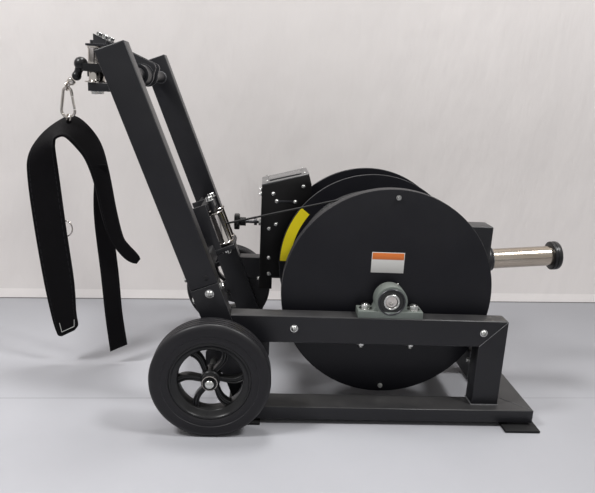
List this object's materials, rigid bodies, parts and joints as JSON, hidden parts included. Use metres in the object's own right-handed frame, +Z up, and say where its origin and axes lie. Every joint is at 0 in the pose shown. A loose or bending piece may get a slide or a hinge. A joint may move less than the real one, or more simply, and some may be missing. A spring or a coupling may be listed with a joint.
{
  "type": "sprint training machine",
  "caption": "Wheeled steel frame with a rope drum, magnetic flywheel brake, leaning twin mast, rope head with rollers, hanging waist belt and a weight horn.",
  "frame": {"origin": "bottom centre of the box round the model, on the floor midway between the wheels", "axes": "+X from the rope head back to the weight horn, +Y across to the flywheel side, +Z up; the picture looks from -Y"},
  "size_m": [1.3106, 0.685, 0.8072],
  "materials": {
    "frame_coat": "semi-gloss charcoal powder coat",
    "disc_coat": "satin black",
    "chrome": "polished",
    "bright_steel": "turned",
    "cast_green": "green-grey paint on a sand casting",
    "black_plastic": "moulded",
    "tyre_rubber": "matt",
    "foot_rubber": "matt",
    "black_rope": "braided",
    "belt_webbing": "padded webbing",
    "panel_plastic": "smooth grey",
    "magnet_steel": "milled"
  },
  "bodies": {
    "frame": {"base_side_near": "frame_coat", "base_side_far": "frame_coat", "base_front_tube": "frame_coat", "base_rear_tube": "frame_coat", "foot_pad_front_near": "foot_rubber", "foot_pad_front_far": "foot_rubber", "foot_pad_rear_near": "foot_rubber", "foot_pad_rear_far": "foot_rubber", "upper_beam_near": "frame_coat", "upper_beam_far": "frame_coat", "rear_post_near": "frame_coat", "rear_post_far": "frame_coat", "mast_foot_near": "frame_coat", "mast_foot_far": "frame_coat", "mast_upper_near": "frame_coat", "mast_upper_far": "frame_coat", "rear_cross_tube": "frame_coat", "horn_pedestal": "frame_coat", "weight_horn": "chrome", "horn_end_cap": "black_plastic", "roller_bracket": "frame_coat", "pillow_block_near": "cast_green", "pillow_block_far": "cast_green", "brake_plate_near": "frame_coat", "brake_plate_far": "frame_coat", "brake_front_wall": "frame_coat", "monitor_panel": "panel_plastic", "head_cross_tube": "frame_coat", "wheel_axle": "chrome", "rope_run": "black_rope"},
    "drum": {"drum_shaft": "bright_steel", "drum_flange_near": "disc_coat", "drum_flange_mid": "disc_coat", "flywheel": "bright_steel", "spool_core": "black_plastic", "rope_wound": "black_rope"},
    "guide_wheel": {"guide_pulley": "black_plastic"},
    "low_roller_near": {"lower_roller_near": "chrome"},
    "low_roller_far": {"lower_roller_far": "chrome"},
    "wheel_near": {"wheel_rim_near": "black_plastic", "tyre_near": "tyre_rubber"},
    "wheel_far": {"wheel_rim_far": "black_plastic", "tyre_far": "tyre_rubber"},
    "magnet": {"magnet_carriage": "magnet_steel"},
    "adjuster": {"adjuster_screw": "bright_steel", "adjuster_knob": "black_plastic"},
    "head": {"head_bracket": "frame_coat", "guide_block": "black_plastic", "rope_head": "black_rope"},
    "head_wheel": {"head_pulley": "black_plastic"},
    "top_roller_near": {"head_roller_near": "chrome"},
    "top_roller_far": {"head_roller_far": "chrome"},
    "rope_end": {"stopper_ball": "black_plastic", "rope_tip": "black_rope"},
    "swivel": {"rope_swivel": "chrome"},
    "hook": {"carabiner": "chrome"},
    "gate": {"carabiner_gate": "chrome"},
    "belt": {"belt_ring": "chrome", "belt_band": "belt_webbing"}
  },
  "joints": [
    {"name": "drum_spin", "type": "hinge", "parent": "frame", "child": "drum", "pos_m": [0.1802, 0, 0.2768], "axis": [0, 1, 0], "continuous": true},
    {"name": "guide_wheel_spin", "type": "hinge", "parent": "frame", "child": "guide_wheel", "pos_m": [-0.25064, 0, 0.38435], "axis": [0, 1, 0], "continuous": true},
    {"name": "low_roller_near_spin", "type": "hinge", "parent": "frame", "child": "low_roller_near", "pos_m": [-0.19933, -0.025, 0.37347], "axis": [-0.3584, 0, 0.9336], "continuous": true},
    {"name": "low_roller_far_spin", "type": "hinge", "parent": "frame", "child": "low_roller_far", "pos_m": [-0.19933, 0.025, 0.37347], "axis": [-0.3584, 0, 0.9336], "continuous": true},
    {"name": "wheel_near_spin", "type": "hinge", "parent": "frame", "child": "wheel_near", "pos_m": [-0.1948, -0.3035, 0.1245], "axis": [0, 1, 0], "continuous": true},
    {"name": "wheel_far_spin", "type": "hinge", "parent": "frame", "child": "wheel_far", "pos_m": [-0.1948, 0.3035, 0.1245], "axis": [0, 1, 0], "continuous": true},
    {"name": "knob_turn", "type": "hinge", "parent": "frame", "child": "adjuster", "pos_m": [-0.1408, 0.152, 0.355], "axis": [1, 0, 0], "range_deg": [0, 2160]},
    {"name": "magnet_slide", "type": "slide", "parent": "frame", "child": "magnet", "axis": [1, 0, 0], "range_m": [0, 0.024]},
    {"name": "head_tilt", "type": "hinge", "parent": "frame", "child": "head", "pos_m": [-0.37723, 0, 0.71971], "axis": [0, 1, 0], "range_deg": [0, 12]},
    {"name": "head_wheel_spin", "type": "hinge", "parent": "head", "child": "head_wheel", "pos_m": [-0.41861, 0, 0.7145], "axis": [0, 1, 0], "continuous": true},
    {"name": "top_roller_near_spin", "type": "hinge", "parent": "head", "child": "top_roller_near", "pos_m": [-0.4848, -0.025, 0.737], "axis": [0, 0, 1], "continuous": true},
    {"name": "top_roller_far_spin", "type": "hinge", "parent": "head", "child": "top_roller_far", "pos_m": [-0.4848, 0.025, 0.737], "axis": [0, 0, 1], "continuous": true},
    {"name": "rope_pull", "type": "slide", "parent": "head", "child": "rope_end", "axis": [-1, 0, 0], "range_m": [0, 0.08]},
    {"name": "swivel_spin", "type": "hinge", "parent": "rope_end", "child": "swivel", "pos_m": [-0.5302, 0, 0.711], "axis": [-0.7071, 0, -0.7071], "continuous": true},
    {"name": "hook_swing", "type": "hinge", "parent": "swivel", "child": "hook", "pos_m": [-0.5528, 0, 0.6757], "axis": [0, 1, 0], "range_deg": [-9, 45]},
    {"name": "gate_open", "type": "hinge", "parent": "hook", "child": "gate", "pos_m": [-0.5377, 0, 0.6362], "axis": [0, 1, 0], "range_deg": [-16, 0], "stiffness_Nm_per_rad": 0.02},
    {"name": "belt_swing", "type": "hinge", "parent": "hook", "child": "belt", "pos_m": [-0.5528, 0, 0.6333], "axis": [0, 1, 0], "range_deg": [-9, 45]}
  ],
  "couplings": [
    {"joint": "guide_wheel_spin", "follows": "drum_spin", "ratio": -10.265},
    {"joint": "head_wheel_spin", "follows": "drum_spin", "ratio": 11.097},
    {"joint": "knob_turn", "follows": "magnet_slide", "rad_per_m": 1570.8}
  ]
}
